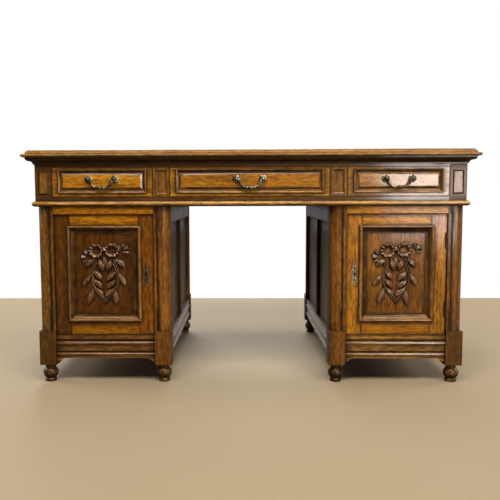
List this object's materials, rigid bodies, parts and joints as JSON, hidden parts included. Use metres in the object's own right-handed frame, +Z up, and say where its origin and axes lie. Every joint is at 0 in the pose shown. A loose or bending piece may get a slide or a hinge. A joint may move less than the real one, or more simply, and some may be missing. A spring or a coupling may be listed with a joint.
{
  "type": "partners desk",
  "caption": "Oak pedestal partners desk with a moulded top, panelled frieze drawers on both long sides, carved cupboard doors, a kneehole right through and turned feet.",
  "frame": {"origin": "centre of the footprint on the floor, under the feet", "axes": "+X along the desk, the pictured front faces -Y, +Z up"},
  "size_m": [1.49, 0.9, 0.78],
  "materials": {
    "oak": "waxed and polished",
    "oak_interior": "plain planed",
    "antique_brass": "darkened",
    "hinge_steel": "dull"
  },
  "bodies": {
    "carcase": {"top_boards": "oak", "top_edging": "oak", "cornice_moulding": "oak", "bead_moulding": "oak", "frieze_rails": "oak", "frieze_posts": "oak", "frieze_end_panels": "oak", "drawer_carcase": "oak_interior", "feet": "oak", "door_hinge_pins": "hinge_steel", "left_pedestal_posts": "oak", "left_pedestal_frames": "oak", "left_pedestal_panels": "oak", "left_plinth": "oak", "left_cupboard_boards": "oak_interior", "right_pedestal_posts": "oak", "right_pedestal_frames": "oak", "right_pedestal_panels": "oak", "right_plinth": "oak", "right_cupboard_boards": "oak_interior"},
    "front_left_drawer": {"front_left_drawer_front": "oak", "front_left_drawer_box": "oak_interior", "front_left_handle_posts": "antique_brass"},
    "front_left_bail": {"front_left_bail": "antique_brass"},
    "front_centre_drawer": {"front_centre_drawer_front": "oak", "front_centre_drawer_box": "oak_interior", "front_centre_handle_posts": "antique_brass"},
    "front_centre_bail": {"front_centre_bail": "antique_brass"},
    "front_right_drawer": {"front_right_drawer_front": "oak", "front_right_drawer_box": "oak_interior", "front_right_handle_posts": "antique_brass"},
    "front_right_bail": {"front_right_bail": "antique_brass"},
    "back_left_drawer": {"back_left_drawer_front": "oak", "back_left_drawer_box": "oak_interior", "back_left_handle_posts": "antique_brass"},
    "back_left_bail": {"back_left_bail": "antique_brass"},
    "back_centre_drawer": {"back_centre_drawer_front": "oak", "back_centre_drawer_box": "oak_interior", "back_centre_handle_posts": "antique_brass"},
    "back_centre_bail": {"back_centre_bail": "antique_brass"},
    "back_right_drawer": {"back_right_drawer_front": "oak", "back_right_drawer_box": "oak_interior", "back_right_handle_posts": "antique_brass"},
    "back_right_bail": {"back_right_bail": "antique_brass"},
    "front_left_door": {"front_left_door_frame": "oak", "front_left_door_panel": "oak", "front_left_door_lock": "antique_brass"},
    "front_left_bolt": {"front_left_bolt": "hinge_steel"},
    "front_right_door": {"front_right_door_frame": "oak", "front_right_door_panel": "oak", "front_right_door_lock": "antique_brass"},
    "front_right_bolt": {"front_right_bolt": "hinge_steel"},
    "back_left_door": {"back_left_door_frame": "oak", "back_left_door_panel": "oak", "back_left_door_lock": "antique_brass"},
    "back_left_bolt": {"back_left_bolt": "hinge_steel"},
    "back_right_door": {"back_right_door_frame": "oak", "back_right_door_panel": "oak", "back_right_door_lock": "antique_brass"},
    "back_right_bolt": {"back_right_bolt": "hinge_steel"}
  },
  "joints": [
    {"name": "front_left_drawer_slide", "type": "slide", "parent": "carcase", "child": "front_left_drawer", "axis": [0, -1, 0], "range_m": [0, 0.3]},
    {"name": "front_left_bail_swing", "type": "hinge", "parent": "front_left_drawer", "child": "front_left_bail", "pos_m": [-0.487, -0.432, 0.68425], "axis": [-1, 0, 0], "range_deg": [0, 90]},
    {"name": "front_centre_drawer_slide", "type": "slide", "parent": "carcase", "child": "front_centre_drawer", "axis": [0, -1, 0], "range_m": [0, 0.3]},
    {"name": "front_centre_bail_swing", "type": "hinge", "parent": "front_centre_drawer", "child": "front_centre_bail", "pos_m": [0, -0.432, 0.68425], "axis": [-1, 0, 0], "range_deg": [0, 90]},
    {"name": "front_right_drawer_slide", "type": "slide", "parent": "carcase", "child": "front_right_drawer", "axis": [0, -1, 0], "range_m": [0, 0.3]},
    {"name": "front_right_bail_swing", "type": "hinge", "parent": "front_right_drawer", "child": "front_right_bail", "pos_m": [0.487, -0.432, 0.68425], "axis": [-1, 0, 0], "range_deg": [0, 90]},
    {"name": "back_left_drawer_slide", "type": "slide", "parent": "carcase", "child": "back_left_drawer", "axis": [0, 1, 0], "range_m": [0, 0.3]},
    {"name": "back_left_bail_swing", "type": "hinge", "parent": "back_left_drawer", "child": "back_left_bail", "pos_m": [-0.487, 0.432, 0.68425], "axis": [1, 0, 0], "range_deg": [0, 90]},
    {"name": "back_centre_drawer_slide", "type": "slide", "parent": "carcase", "child": "back_centre_drawer", "axis": [0, 1, 0], "range_m": [0, 0.3]},
    {"name": "back_centre_bail_swing", "type": "hinge", "parent": "back_centre_drawer", "child": "back_centre_bail", "pos_m": [0, 0.432, 0.68425], "axis": [1, 0, 0], "range_deg": [0, 90]},
    {"name": "back_right_drawer_slide", "type": "slide", "parent": "carcase", "child": "back_right_drawer", "axis": [0, 1, 0], "range_m": [0, 0.3]},
    {"name": "back_right_bail_swing", "type": "hinge", "parent": "back_right_drawer", "child": "back_right_bail", "pos_m": [0.487, 0.432, 0.68425], "axis": [1, 0, 0], "range_deg": [0, 90]},
    {"name": "front_left_door_swing", "type": "hinge", "parent": "carcase", "child": "front_left_door", "pos_m": [-0.65, -0.4088, 0.365], "axis": [0, 0, -1], "range_deg": [0, 105]},
    {"name": "front_left_bolt_slide", "type": "slide", "parent": "front_left_door", "child": "front_left_bolt", "axis": [1, 0, 0], "range_m": [0, 0.008]},
    {"name": "front_right_door_swing", "type": "hinge", "parent": "carcase", "child": "front_right_door", "pos_m": [0.65, -0.4088, 0.365], "axis": [0, 0, 1], "range_deg": [0, 105]},
    {"name": "front_right_bolt_slide", "type": "slide", "parent": "front_right_door", "child": "front_right_bolt", "axis": [-1, 0, 0], "range_m": [0, 0.008]},
    {"name": "back_left_door_swing", "type": "hinge", "parent": "carcase", "child": "back_left_door", "pos_m": [-0.65, 0.4088, 0.365], "axis": [0, 0, 1], "range_deg": [0, 105]},
    {"name": "back_left_bolt_slide", "type": "slide", "parent": "back_left_door", "child": "back_left_bolt", "axis": [1, 0, 0], "range_m": [0, 0.008]},
    {"name": "back_right_door_swing", "type": "hinge", "parent": "carcase", "child": "back_right_door", "pos_m": [0.65, 0.4088, 0.365], "axis": [0, 0, -1], "range_deg": [0, 105]},
    {"name": "back_right_bolt_slide", "type": "slide", "parent": "back_right_door", "child": "back_right_bolt", "axis": [-1, 0, 0], "range_m": [0, 0.008]}
  ]
}
